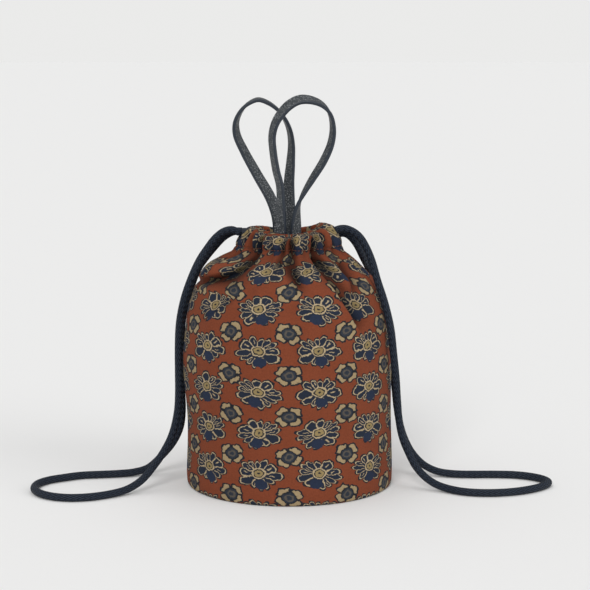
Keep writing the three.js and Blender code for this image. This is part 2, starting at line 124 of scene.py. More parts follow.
# cubic through the points with knots a square root of the chord apart; each tangent is a mean of
# its two chords' slopes weighted by the other's gap; where runs from 0 to 1 over knots or spans
def smoothThrough(points, where, bySpan=False):
    points = np.asarray(points, float)
    gaps = np.sqrt(np.linalg.norm(np.diff(points, axis=0), axis=1))
    gaps[gaps < 0.01] = 1
    knots = np.concatenate([[0], np.cumsum(gaps)])
    slopes = np.diff(points, axis=0) / gaps[:, None]
    middle = slopes[1:] * gaps[:-1, None] + slopes[:-1] * gaps[1:, None]
    middle /= (gaps[1:] + gaps[:-1])[:, None]
    tangents = np.vstack([slopes[:1], middle, slopes[-1:]])
    if bySpan:
        at = np.asarray(where) * len(gaps)
        left = np.minimum(at.astype(int), len(gaps) - 1)
        s = (at - left)[:, None]
    else:
        at = np.asarray(where) * knots[-1]
        left = np.clip(np.searchsorted(knots, at, side="right") - 1, 0, len(gaps) - 1)
        s = ((at - knots[left]) / gaps[left])[:, None]
    h = gaps[left][:, None]
    start, end = points[left], points[left + 1]
    return (
        (2 * s**3 - 3 * s**2 + 1) * start
        + (s**3 - 2 * s**2 + s) * h * tangents[left]
        + (3 * s**2 - 2 * s**3) * end
        + (s**3 - s**2) * h * tangents[left + 1]
    )


# the same curve with its points a fixed length apart
def evenlyAlong(points, step):
    fine = smoothThrough(points, np.linspace(0, 1, 40 * len(points)))
    travelled = lengthAlong(fine)
    at = np.linspace(0, travelled[-1], int(round(travelled[-1] / step)) + 1)
    return readAt(at, travelled, fine), at


# a grid of points as a mesh: rows along, columns round, closed round where wrap is set; across
# and along are the surface's own measures there, kept as its uv
def gridMesh(name, points, across, along, wrap=True, capped=False, material=None, uvScale=1.0,
             paintedShade=None):
    rows, columns = points.shape[:2]
    spans = columns if wrap else columns - 1
    row, column = np.meshgrid(np.arange(rows - 1), np.arange(spans), indexing="ij")
    after = (column + 1) % columns
    corners = np.stack([row * columns + column, row * columns + after,
                        (row + 1) * columns + after, (row + 1) * columns + column], axis=-1)
    loops = corners.reshape(-1)
    sizes = np.full(corners.shape[0] * corners.shape[1], 4)
    across = np.broadcast_to(across, (rows, len(across))) if across.ndim == 1 else across
    u = np.stack([across[row, column], across[row, column + 1],
                  across[row + 1, column + 1], across[row + 1, column]], axis=-1)
    v = np.stack([along[row], along[row], along[row + 1], along[row + 1]], axis=-1)
    uv = np.stack([u, v], axis=-1).reshape(-1, 2) * uvScale
    if capped:
        first = np.arange(columns)[::-1]
        last = (rows - 1) * columns + np.arange(columns)
        loops = np.concatenate([loops, first, last])
        sizes = np.concatenate([sizes, [columns, columns]])
        uv = np.concatenate([uv, np.zeros((2 * columns, 2))])
    mesh = bpy.data.meshes.new(name)
    mesh.vertices.add(rows * columns)
    mesh.vertices.foreach_set("co", (points.reshape(-1) * metre).astype(np.float32))
    mesh.loops.add(len(loops))
    mesh.loops.foreach_set("vertex_index", loops.astype(np.int32))
    mesh.polygons.add(len(sizes))
    starts = np.concatenate([[0], np.cumsum(sizes)[:-1]])
    mesh.polygons.foreach_set("loop_start", starts.astype(np.int32))
    layer = mesh.uv_layers.new(name="cloth")
    layer.data.foreach_set("uv", uv.astype(np.float32).reshape(-1))
    # painted shade per point, kept as a point attribute
    if paintedShade is not None:
        values = mesh.attributes.new("paintedShade", "FLOAT", "POINT").data
        values.foreach_set("value", paintedShade.astype(np.float32).reshape(-1))
    mesh.update(calc_edges=True)
    mesh.validate()
    mesh.shade_smooth()
    piece = bpy.data.objects.new(name, mesh)
    bpy.context.scene.collection.objects.link(piece)
    if material:
        mesh.materials.append(material)
    return piece


# directions across a path that turn as little as they can from one point to the next
def carriedFrame(path):
    along = unit(np.gradient(path, axis=0))
    side = np.zeros_like(path)
    side[0] = unit(np.cross(along[0], (0, 0, 1)))
    for index in range(1, len(path)):
        before = side[index - 1]
        side[index] = unit(before - along[index] * np.dot(before, along[index]))
    return side, np.cross(along, side)


# a circle carried along the route; u runs round it from 0 to 1 and v along it in metres
def makeCord(name, route, node, look, material):
    path, travelled = evenlyAlong(route, look["step"])
    side, up = carriedFrame(path)
    turn = np.linspace(0, 2 * np.pi, look["sides"], endpoint=False)[:, None]
    ring = np.cos(turn) * side[:, None] + np.sin(turn) * up[:, None]
    points = path[:, None] + look["diameter"] / 2 * ring
    around = np.linspace(0, 1, look["sides"] + 1)
    cord = gridMesh(name, points, around, travelled * metre, capped=True, material=material)
    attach(cord, "root")
    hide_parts(node)
    print(name, "length", round(travelled[-1]), "mm")


# Materials: a node is made in the tree of the sockets it takes, so the tree is not passed on

def newMaterial(name):
    material = bpy.data.materials.new(name)
    material.use_nodes = True
    nodes = material.node_tree.nodes
    return material, material.node_tree, nodes["Principled BSDF"]


def setInput(socket, value):
    if isinstance(value, bpy.types.NodeSocket):
        socket.id_data.links.new(value, socket)
    else:
        socket.default_value = value


# a new node in the tree of the first socket among some values
def nodeBeside(kind, *values):
    socket = next(value for value in values if isinstance(value, bpy.types.NodeSocket))
    return socket.id_data.nodes.new(kind)


def maths(operation, *values):
    node = nodeBeside("ShaderNodeMath", *values)
    node.operation = operation
    for socket, value in zip(node.inputs, values):
        setInput(socket, value)
    return node.outputs[0]


# sum of sockets and numbers, taken from left to right
def plus(*values):
    result = values[0]
    for value in values[1:]:
        result = maths("ADD", result, value)
    return result


# product of sockets and numbers; for masks it is 1 where all of them are 1
def times(*values):
    result = values[0]
    for value in values[1:]:
        result = maths("MULTIPLY", result, value)
    return result


def minus(first, second):
    return maths("SUBTRACT", first, second)


# height times the sine of crests times the turn plus a shift
def ripple(turn, crests, shift, height):
    return times(maths("SINE", plus(times(turn, crests), shift)), height)


# 1 where a value is above an edge, softened over a short width
def above(value, edge, soft=0.16):
    ramp = nodeBeside("ShaderNodeMapRange", value)
    setInput(ramp.inputs["Value"], value)
    setInput(ramp.inputs["From Min"], edge - soft)
    setInput(ramp.inputs["From Max"], edge + soft)
    return ramp.outputs["Result"]


def below(value, edge, soft=0.16):
    return minus(1.0, above(value, edge, soft))


def blend(share, first, second, kind="MIX"):
    node = nodeBeside("ShaderNodeMix", share, first, second)
    node.data_type = "RGBA"
    node.blend_type = kind
    setInput(node.inputs["Factor"], share)
    setInput(node.inputs["A"], first)
    setInput(node.inputs["B"], second)
    return node.outputs["Result"]


# colours laid over one another, each through its own mask
def paint(color, layers, look):
    for mask, name in layers:
        color = blend(mask, color, look[name])
    return color


def vectorOf(x, y, z=0.0):
    node = nodeBeside("ShaderNodeCombineXYZ", x, y)
    for socket, value in zip(node.inputs, (x, y, z)):
        setInput(socket, value)
    return node.outputs[0]


def partsOf(vector):
    node = nodeBeside("ShaderNodeSeparateXYZ", vector)
    setInput(node.inputs[0], vector)
    return node.outputs


def noise(place, scale, detail=2.0, roughness=0.5):
    node = nodeBeside("ShaderNodeTexNoise", place)
    values = {"Vector": place, "Scale": scale, "Detail": detail, "Roughness": roughness}
    for label, value in values.items():
        setInput(node.inputs[label], value)
    return node.outputs


def bumpInto(shader, height, strength, distance):
    node = nodeBeside("ShaderNodeBump", height)
    for label, value in (("Strength", strength), ("Distance", distance), ("Height", height)):
        setInput(node.inputs[label], value)
    setInput(shader.inputs["Normal"], node.outputs[0])


# colour, roughness and specular level of a surface
def setSurface(shader, color, roughness, specular=0.5):
    setInput(shader.inputs["Base Color"], color)
    setInput(shader.inputs["Roughness"], roughness)
    setInput(shader.inputs["Specular IOR Level"], specular)


# a place in millimetres from coordinates in metres, or on another scale
def placeIn(tree, layout="UV", scale=(1000, 1000, 1000)):
    coordinates = tree.nodes.new("ShaderNodeTexCoord")
    mapping = tree.nodes.new("ShaderNodeMapping")
    mapping.inputs["Scale"].default_value = scale
    setInput(mapping.inputs["Vector"], coordinates.outputs[layout])
    return mapping.outputs[0]


def newGroup(name, inputs, outputs):
    tree = bpy.data.node_groups.new(name, "ShaderNodeTree")
    for label, kind in inputs:
        tree.interface.new_socket(label, in_out="INPUT", socket_type=kind)
    for label, kind in outputs:
        tree.interface.new_socket(label, in_out="OUTPUT", socket_type=kind)
    start = tree.nodes.new("NodeGroupInput")
    end = tree.nodes.new("NodeGroupOutput")
    return tree, start.outputs, end.inputs


def placeGroup(group, **values):
    node = nodeBeside("ShaderNodeGroup", *values.values())
    node.node_tree = group
    for label, value in values.items():
        setInput(node.inputs[label], value)
    return node.outputs


# lengths are in millimetres on the flat cloth
printLook = {
    "ground": (0.192, 0.0462, 0.0190, 1),
    "navy": (0.0155, 0.0215, 0.0370, 1),
    "outline": (0.0130, 0.0155, 0.0210, 1),
    "cream": (0.42, 0.325, 0.195, 1),
    "gold": (0.27, 0.20, 0.09, 1),
    "tan": (0.33, 0.245, 0.135, 1),
    "slate": (0.027, 0.033, 0.045, 1),
    "blue": (0.017, 0.0255, 0.052, 1),
    "columnPitch": 51.4,
    "rowPitch": 34.6,
    "wobble": 4.2,
}
# petal edges and oval edges are shares of the rosette's or the oval's half sizes
smallRosette = {
    "middle": (0.0, 9.2),
    "half": (11.9, 8.7),
    "turnRange": 0.5,
    "petalEdge": 0.62,
    "petalSwell": 0.34,
    "petalRoundness": 0.45,
    "bluntness": 0.05,
    "outlineWidth": 1.45,
    "petalGap": 0.36,
    "ovalHalf": (6.0, 4.7),
    "ovalRing": 1.16,
    "oval": 0.97,
    "wornRing": (0.4, 0.66),
    "wear": 0.22,
}
bigRosette = {
    "middle": (25.7, 28.3),
    "half": (19.6, 14.2),
    "turnRange": 0.3,
    "petals": 12,
    "unevenness": 0.22,
    "raggedness": 0.075,
    "pointedness": 0.07,
    "petalEdge": 0.64,
    "petalSwell": 0.27,
    "petalRoundness": 0.55,
    "outlineWidth": 1.55,
    "creamWidth": 0.95,
    "veinWidth": 0.42,
    "veinStart": 0.34,
    "streakWidth": 0.32,
    "streakReach": (0.5, 0.72),
    "blobMiddle": (2.0, -8.2),
    "blobHalf": (5.6, 4.2),
    "eyeRise": 0.9,
    "eyeHalf": (5.6, 4.1),
    "eyeRings": ((1.12, "cream"), (0.88, "outline"), (0.7, "gold"), (0.2, "outline")),
}


# place within a repeated cell, turned and flipped by chance, with the cell's own random value
def cellPlace(x, y, look, rosette):
    halfX, halfY = look["columnPitch"] / 2, look["rowPitch"] / 2
    awayX = minus(x, rosette["middle"][0])
    awayY = minus(y, rosette["middle"][1])
    localX = maths("WRAP", awayX, halfX, -halfX)
    localY = maths("WRAP", awayY, halfY, -halfY)
    cellX = maths("ROUND", maths("DIVIDE", awayX, look["columnPitch"]))
    cellY = maths("ROUND", maths("DIVIDE", awayY, look["rowPitch"]))
    chance = nodeBeside("ShaderNodeTexWhiteNoise", x)
    chance.noise_dimensions = "2D"
    setInput(chance.inputs["Vector"], vectorOf(cellX, cellY))
    random = chance.outputs["Value"]
    turn = times(minus(random, 0.5), rosette["turnRange"])
    cosine, sine = maths("COSINE", turn), maths("SINE", turn)
    turnedX = minus(times(localX, cosine), times(localY, sine))
    turnedY = plus(times(localX, sine), times(localY, cosine))
    coin = maths("FRACT", times(random, 7.0))
    side = maths("SIGN", minus(coin, 0.5))
    return times(turnedX, side), turnedY, random


# distance from the middle as a share of an oval's edge, and the angle round it
def polar(x, y, half):
    flatX = maths("DIVIDE", x, half[0])
    flatY = maths("DIVIDE", y, half[1])
    squares = plus(times(flatX, flatX), times(flatY, flatY))
    return maths("SQRT", squares), maths("ARCTAN2", flatY, flatX)


# four blunt petals round a slate oval with a worn ring
def drawSmallRosette(x, y, color, look, rosette):
    localX, localY, _ = cellPlace(x, y, look, rosette)
    reach, turn = polar(localX, localY, rosette["half"])
    lobes = maths("ABSOLUTE", maths("SINE", times(turn, 2.0)))
    swell = times(maths("POWER", lobes, rosette["petalRoundness"]), rosette["petalSwell"])
    blunt = ripple(turn, 9.0, 1.0, rosette["bluntness"])
    edge = plus(rosette["petalEdge"], swell, blunt)
    inside = times(minus(edge, reach), sum(rosette["half"]) / 2)
    petal = times(above(inside, 0.0), above(lobes, rosette["petalGap"], 0.1))
    ovalReach, _ = polar(localX, localY, rosette["ovalHalf"])
    inner, outer = rosette["wornRing"]
    worn = times(below(ovalReach, outer, 0.08), above(ovalReach, inner, 0.08))
    return paint(color, [
        (above(inside, -rosette["outlineWidth"]), "outline"),
        (petal, "tan"),
        (below(ovalReach, rosette["ovalRing"], 0.04), "outline"),
        (below(ovalReach, rosette["oval"], 0.04), "slate"),
        (times(worn, rosette["wear"]), "tan"),
    ], look)


# navy petals edged in cream, veins between them, a blue blob and a ringed gold eye
def drawBigRosette(x, y, color, look, rosette):
    localX, localY, chance = cellPlace(x, y, look, rosette)
    reach, turn = polar(localX, localY, rosette["half"])
    size, petals = sum(rosette["half"]) / 2, rosette["petals"]
    uneven = ripple(turn, 2.0, times(chance, 6.0), rosette["unevenness"])
    swung = times(plus(turn, uneven), petals / 2)
    lobes = maths("ABSOLUTE", maths("COSINE", swung))
    ragged = ripple(turn, 5.0, times(chance, 5.0), rosette["raggedness"])
    pointed = times(maths("COSINE", times(turn, 2.0)), rosette["pointedness"])
    swell = times(maths("POWER", lobes, rosette["petalRoundness"]), rosette["petalSwell"])
    edge = plus(ragged, pointed, plus(rosette["petalEdge"], swell))
    inside = times(minus(edge, reach), size)
    petalEdge = above(inside, 0.0)
    notchGap = times(maths("ARCSINE", lobes), 2.0 * size / petals, reach)
    veins = times(below(notchGap, rosette["veinWidth"], 0.14),
                  above(reach, rosette["veinStart"], 0.02), petalEdge)
    ridgeGap = times(maths("ARCCOSINE", lobes), 2.0 * size / petals, reach)
    inner, outer = rosette["streakReach"]
    streaks = times(below(ridgeGap, rosette["streakWidth"], 0.14),
                    above(reach, inner, 0.03), below(reach, outer, 0.03),
                    above(ripple(turn, 3.0, 0.6, 1.0), -0.1, 0.05))
    blobX, blobY = rosette["blobMiddle"]
    blobReach, _ = polar(minus(localX, blobX), minus(localY, blobY), rosette["blobHalf"])
    eyeReach, _ = polar(localX, minus(localY, rosette["eyeRise"]), rosette["eyeHalf"])
    return paint(color, [
        (above(inside, -rosette["outlineWidth"]), "outline"),
        (petalEdge, "cream"),
        (above(inside, rosette["creamWidth"]), "navy"),
        (veins, "cream"),
        (streaks, "cream"),
        (below(blobReach, 1.0, 0.03), "blue"),
    ] + [(below(eyeReach, ring, 0.035), shade) for ring, shade in rosette["eyeRings"]], look)


# a foulard of rosettes: big ones on one lattice and small ones half a drop away, both drifting a
# little from their places
def makePrintGroup(look):
    tree, given, result = newGroup("foulardPrint", [("Place", "NodeSocketVector")],
                                   [("Color", "NodeSocketColor")])
    drift = noise(given["Place"], 0.24, 3.0, 0.6)
    driftX, driftY = drift["Fac"], partsOf(drift["Color"])[1]
    place = partsOf(given["Place"])
    x = plus(place[0], times(minus(driftX, 0.5), look["wobble"]))
    y = plus(place[1], times(minus(driftY, 0.5), look["wobble"]))
    color = drawSmallRosette(x, y, look["ground"], look, smallRosette)
    color = drawBigRosette(x, y, color, look, bigRosette)
    setInput(result["Color"], color)
    return tree


# fine diagonal twill: a height from ribs, yarns and slubs, and a soft darkening in clouds
def makeWeaveGroup():
    tree, given, result = newGroup(
        "twillWeave", [("Place", "NodeSocketVector"), ("Pitch", "NodeSocketFloat")],
        [("Height", "NodeSocketFloat"), ("Shade", "NodeSocketFloat")])
    place = partsOf(given["Place"])
    turns = maths("DIVIDE", 2 * math.pi, given["Pitch"])
    rib = maths("SINE", times(plus(place[0], place[1]), turns))
    slanted = minus(place[0], times(place[1], 0.4))
    yarn = maths("SINE", times(slanted, turns))
    slub = noise(given["Place"], 0.62, 4.0, 0.7)["Fac"]
    cloud = noise(given["Place"], 0.05, 4.0, 0.6)["Fac"]
    height = plus(times(rib, 0.35), times(yarn, 0.15), slub)
    shade = plus(times(cloud, 0.24), times(slub, 0.8))
    setInput(result["Height"], height)
    setInput(result["Shade"], plus(0.48, shade))
    return tree


clothLook = {
    "twillPitch": 0.55,
    "twillHeight": 0.00015,
    # how dark the painted shade in creases and pleats gets
    "paintedShadeStrength": 0.74,
    "roughness": 0.85,
    "specular": 0.2,
}


# printed twill with painted shade: the cloth is darker where its painted-shade attribute is high,
# standing in for the shade in creases, pleats and under the casing
def makePrintedCloth(name, printGroup, weaveGroup, look, layout="UV"):
    material, tree, shader = newMaterial(name)
    place = placeIn(tree, layout)
    printed = placeGroup(printGroup, Place=place)
    weave = placeGroup(weaveGroup, Place=place, Pitch=look["twillPitch"])
    paintedShade = tree.nodes.new("ShaderNodeAttribute")
    paintedShade.attribute_name = "paintedShade"
    lit = minus(1.0, times(paintedShade.outputs["Fac"], look["paintedShadeStrength"]))
    color = blend(1.0, printed["Color"], times(weave["Shade"], lit), "MULTIPLY")
    setSurface(shader, color, look["roughness"], look["specular"])
    bumpInto(shader, weave["Height"], 0.45, look["twillHeight"])
    return material


# one colour in the same weave, placed on the object's own coordinates
def makePlainCloth(name, color, weaveGroup, pitch):
    material, tree, shader = newMaterial(name)
    weave = placeGroup(weaveGroup, Place=placeIn(tree, "Object"), Pitch=pitch)
    setSurface(shader, blend(1.0, color, weave["Shade"], "MULTIPLY"), clothLook["roughness"])
    bumpInto(shader, weave["Height"], 0.3, 0.0001)
    return material


# round braid: strands cross over and under on the two diagonals of u and v, with a painted
# highlight on the strands' crowns and painted shade in the grooves between them
def makeBraid(look):
    material, tree, shader = newMaterial("braidedCord")
    scale = (look["braidStrands"], 1000 / (2 * look["braidPitch"]), 1)
    place = partsOf(placeIn(tree, "UV", scale))
    diagonals = plus(place[0], place[1]), minus(place[0], place[1])
    rising, falling = (
        maths("SINE", times(maths("FRACT", diagonal), math.pi)) for diagonal in diagonals)
    cell = plus(*[maths("FLOOR", diagonal) for diagonal in diagonals])
    upper = maths("FLOORED_MODULO", cell, 2.0)
    height = plus(times(rising, upper), times(falling, minus(1.0, upper)))
    # painted shade in the grooves, painted highlight on the crowns
    color = blend(above(height, 0.7, 0.22), look["groove"], look["paintedLitCrown"])
    setSurface(shader, color, look["roughness"], 0.3)
    bumpInto(shader, height, 1.0, look["braidHeight"])
    return material


# painted shade in the grain's creases and a painted highlight on its crowns
strapFaceLook = {
    "paintedCreaseShade": (0.022, 0.028, 0.034, 1),
    "paintedLitCrown": (0.210, 0.222, 0.230, 1),
    "roughness": 0.52,
    "grain": 0.8,
}
# the painted edge, with slight painted shade in its creases and a painted highlight on its crowns
strapEdgeLook = {
    "paintedCreaseShade": (0.010, 0.017, 0.028, 1),
    "paintedLitCrown": (0.014, 0.023, 0.038, 1),
    "roughness": 0.42,
    "grain": 0.1,
}


# leather with a pebbled grain: a painted highlight on the crowns between painted shade in the
# creases
def makeLeather(name, look):
    material, tree, shader = newMaterial(name)
    place = placeIn(tree)
    pebbles = tree.nodes.new("ShaderNodeTexVoronoi")
    pebbles.feature = "DISTANCE_TO_EDGE"
    setInput(pebbles.inputs["Vector"], place)
    setInput(pebbles.inputs["Scale"], 0.62)
    soft = noise(place, 1.3, 3.0)["Fac"]
    dome = above(pebbles.outputs["Distance"], 0.16, 0.16)
    height = plus(dome, times(soft, 0.7))
    paintedGrainLight = blend(above(height, 1.05, 0.34), look["paintedCreaseShade"], look["paintedLitCrown"])
    setSurface(shader, paintedGrainLight, look["roughness"])
    bumpInto(shader, height, look["grain"], 0.0003)
    return material


# Leather handles

# lengths in millimetres; rim, seam and tail end are heights
strapLook = {
    "width": 10.0,
    "thickness": 3.0,
    "edgeRounding": 0.95,
    "rows": 260,
    "span": 50.0,
    "rise": 113.5,
    "rim": 221.3,
    "aboveRim": 4,
    "seam": 205.0,
    "tailEnd": 196.3,
}
# turns are of the outer face to the front in degrees; a loop point gives its place sideways in
# spans, its height above the rim in rises, and its turn
frontHandle = {
    "depth": -17.96,
    "feet": (-6.9, 5.7),
    "footTurn": 90,
    "rimTurn": 58,
    "loop": [
        (-0.142, 0.22, 36), (-0.158, 0.36, 31), (-0.225, 0.48, 29), (-0.277, 0.63, 27),
        (-0.29, 0.73, 28), (-0.25, 0.815, 32), (-0.165, 0.885, 38), (0, 0.965, 44),
        (0.185, 1.005, 42), (0.39, 1, 30), (0.575, 0.962, 12), (0.695, 0.895, -6),
        (0.74, 0.787, -18), (0.705, 0.675, -25), (0.58, 0.547, -28), (0.39, 0.412, -22),
        (0.24, 0.3, -8), (0.15, 0.21, 12),
    ],
}
backHandle = {
    "depth": 16.03,
    "feet": (-9.7, 0.6),
    "footTurn": -90,
    "rimTurn": -90,
    "loop": [
        (-0.225, 0.12, -72), (-0.325, 0.24, -58), (-0.565, 0.426, -46), (-0.785, 0.603, -36),
        (-0.915, 0.733, -28), (-0.92, 0.829, -16), (-0.82, 0.92, -4), (-0.69, 0.97, 4),
        (-0.54, 0.995, 8), (-0.386, 0.975, 6), (-0.212, 0.922, 0), (-0.084, 0.85, -8),
        (0, 0.763, -16), (0.036, 0.656, -24), (0.02, 0.503, -40), (-0.006, 0.348, -60),
    ],
}


# rounded rectangle: corners are quarter circles, and the long sides have points of their own
def strapSection(look):
    halfWidth, halfThick, corner = look["width"] / 2, look["thickness"] / 2, look["edgeRounding"]
    quarter = np.linspace(0, np.pi / 2, 5)
    wide, thick = halfWidth - corner, halfThick - corner
    middles = [(wide, thick, 0), (-wide, thick, 1), (-wide, -thick, 2), (wide, -thick, 3)]
    parts = []
    for across, through, turns in middles:
        angle = quarter + turns * np.pi / 2
        parts.append(np.stack([across + corner * np.cos(angle),
                               through + corner * np.sin(angle)], axis=1))
        if turns in (0, 2):
            flat = np.linspace(1, -1, 8)[1:-1] * across
            parts.append(np.stack([flat, np.full(6, parts[-1][-1, 1])], axis=1))
    return np.concatenate(parts)


# the section carried along the loop and turned with it; its short sides take the edge material
def makeHandle(name, node, handle, look, face, edge):
    feet, footTurn, rimTurn = handle["feet"], handle["footTurn"], handle["rimTurn"]
    foot = [(look["tailEnd"], footTurn), (look["seam"], footTurn),
            (look["rim"] + look["aboveRim"], rimTurn)]
    rows = [(feet[0], height, turn) for height, turn in foot]
    rows += [(sideways * look["span"], look["rim"] + rise * look["rise"], turn)
             for sideways, rise, turn in handle["loop"]]
    rows += [(feet[1], height, turn) for height, turn in reversed(foot)]
    rows = np.array(rows, float)
    where = np.linspace(0, 1, look["rows"])
    course = smoothThrough(rows[:, :2], where, bySpan=True)
    path = np.stack([course[:, 0], np.full(len(course), handle["depth"]), course[:, 1]], axis=1)
    turn = np.radians(smoothThrough(rows[:, 2:], where, bySpan=True))
    along = unit(np.gradient(path, axis=0))
    front = np.array([0.0, -1.0, 0.0])
    facing = np.cross(front, along) * np.cos(turn) + front * np.sin(turn)
    across = np.cross(facing, along)
    section = strapSection(look)
    points = (path[:, None] + section[None, :, :1] * across[:, None]
              + section[None, :, 1:] * facing[:, None])
    closed = np.vstack([section, section[:1]])
    travelled = lengthAlong(path)
    strap = gridMesh(name, points, lengthAlong(closed), travelled, capped=True, material=face,
                     uvScale=metre)
    strap.data.materials.append(edge)
    middle = (closed[1:] + closed[:-1]) / 2
    isEdge = np.abs(middle[:, 0]) > look["width"] / 2 - look["edgeRounding"]
    slots = np.concatenate([np.tile(isEdge, len(points) - 1), [True, True]]).astype(np.int32)
    strap.data.polygons.foreach_set("material_index", slots)
    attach(strap, "root")
    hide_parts(node)
    print(name, "strap length", round(travelled[-1]), "mm")


# Cloth body

# lengths in millimetres; waist, belly and shoulder are a height and a radius
bodyShape = {
    "baseRadius": 90.0,
    "waist": (58.0, 89.4),
    "belly": (108.0, 91.0),
    "shoulder": (143.0, 88.6),
    "leftFullness": 1.7,
    "hemRounding": 2.5,
    "seamHeight": 205.0,
    "rimHeight": 221.3,
    "rimRounding": 5.0,
    "stitchHeight": 208.6,
    "ridgeHalfWidth": 43.95,
    "ridgeHalfDepth": 40.95,
    "mouthHalfWidth": 25.25,
    "mouthHalfDepth": 22.25,
    "endTaper": 5.5,
    "pleatDepth": 9.2,
    "innerPleatDepth": 2.0,
    "leftRimLift": 4.5,
    "rightRimLift": 7.0,
    "cloth": 1.2,
    "foldCore": 0.35,
    "puff": 2.2,
    "puffTilt": 0.9,
    "grooveDepth": 1.3,
    "grooveWidth": 1.1,
    "rimDip": 2.4,
    "rimWave": 1.1,
    # painted shade of the hollows: the depths that give it, then the painted shadow under the
    # casing and the painted shade on it
    "pleatShade": 8,
    "fullShade": 8.2,
    "paintedShadowUnder": 0.22,
    "paintedCasingShade": 0.09,
    "fullTuck": 12,
    "samples": 5280,
    "columns": 528,
    "hemEnd": 5,
    "hemRows": 6,
    "shoulderLead": 8,
    "sideRows": 22,
    "gatheredRows": 150,
}
# angle in degrees, share of the full depth, half width in degrees, lean in degrees over the casing
pleats = [
    (-156, 0.6, 4.5, 3), (-141, 0.45, 4, -4), (-128.5, 1, 6, 2), (-111, 0.25, 5, -3),
    (-96.5, 0.75, 4, 4), (-87, 1, 4, -1), (-73, 0.3, 5, 3), (-58.5, 1, 6, 3), (-44, 0.5, 4.5, -4),
    (-28, 0.6, 4.5, 4), (17, 0.5, 4.5, -3), (36, 0.9, 5.5, 2), (57, 0.5, 4.5, -4),
    (76, 1, 5.5, 3), (98, 0.6, 5, -2), (118, 1, 6, 2), (138, 0.6, 4.5, -3), (158, 0.7, 4.5, 2),
]
# angle at the casing, turn, bend, depth, half widths before and after in mm, start and end of the
# drop; as in the solid: the middle swings by turn times the drop to the power of bend
broadFolds = [
    (-130, -600, 3.2, 9, 4.5, 8, 0, 0.52), (-93, 26, 1, 6.5, 3.5, 5, 0, 0.5),
    (-104, 60, 1, 4, 4, 3, 0, 0.28), (-66, 21, 1, 6.5, 2, 11, 0, 1.05),
    (-60, 900, 3.2, 8, 5, 6, 0, 0.3), (-27, -30, 1, 5, 6, 5, 0.05, 0.62),
    (-90, -64, 1, 1.8, 9, 2.5, 0.45, 1), (-158, 0, 1, -5, 16, 14, 0.02, 0.36),
    (30, 24, 1, 6.5, 8, 2.5, 0, 0.8), (60, -20, 1, 6, 4, 6, 0, 0.5),
    (80, 16, 1, 7, 3, 10, 0, 0.95), (118, 500, 3.2, 8, 7, 4.5, 0, 0.5),
    (138, -22, 1, 5, 5, 5, 0, 0.6), (157, 12, 1, 4.5, 5, 4, 0, 0.55),
]
# finer creases that only this piece has, in the same terms
creases = [
    (-117, -30, 1, 2, 1.6, 3.5, 0, 0.34), (-109, 20, 1, 1.4, 2.5, 1.5, 0, 0.3),
    (-80, 22, 1, 1.8, 3, 1.4, 0, 0.36), (-74, 30, 1, 1.2, 1.5, 2.5, 0.02, 0.45),
    (-90, 4, 1, 1, 4, 5, 0.5, 1.6), (-93.5, 30, 1.6, 2.6, 1.8, 2.6, 0, 0.42),
    (-63, 26, 1, 2.2, 1.4, 3.2, 0, 0.6), (-126, -46, 1.4, 2.6, 1.6, 2.6, 0, 0.3),
    (-148, -60, 2, 2, 2, 3, 0, 0.3), (-47, 26, 1, 2.4, 2, 4, 0, 0.4),
    (-38, 10, 1, 1.8, 3, 2, 0.02, 0.5), (-15, -16, 1, 1.6, 2, 3, 0.05, 0.5),
    (-102, -26, 1, 0.9, 4, 4, 0.3, 0.9), (-70, -14, 1, 0.8, 5, 4, 0.4, 1.1),
    (15, 20, 1, 2, 2, 4, 0, 0.5), (45, 18, 1, 2, 3, 2, 0, 0.4), (70, -10, 1, 1.6, 2, 3, 0, 0.5),
    (94, 14, 1, 2, 3, 2, 0, 0.45), (106, -12, 1, 1.8, 2, 3, 0, 0.4), (128, 24, 1, 2, 2, 4, 0, 0.45),
    (148, -18, 1, 2, 3, 2, 0, 0.5), (170, 8, 1, 1.8, 2, 3, 0, 0.5),
]


# 0 before the start and 1 after the end, with a smooth rise of 3 s squared less 2 s cubed
def eased(start, end, value):
    share = np.clip((value - start) / (end - start), 0, 1)
    return share * share * (3 - 2 * share)


# the same angle between minus and plus half a turn
def wrapped(angle):
    return np.arctan2(np.sin(angle), np.cos(angle))


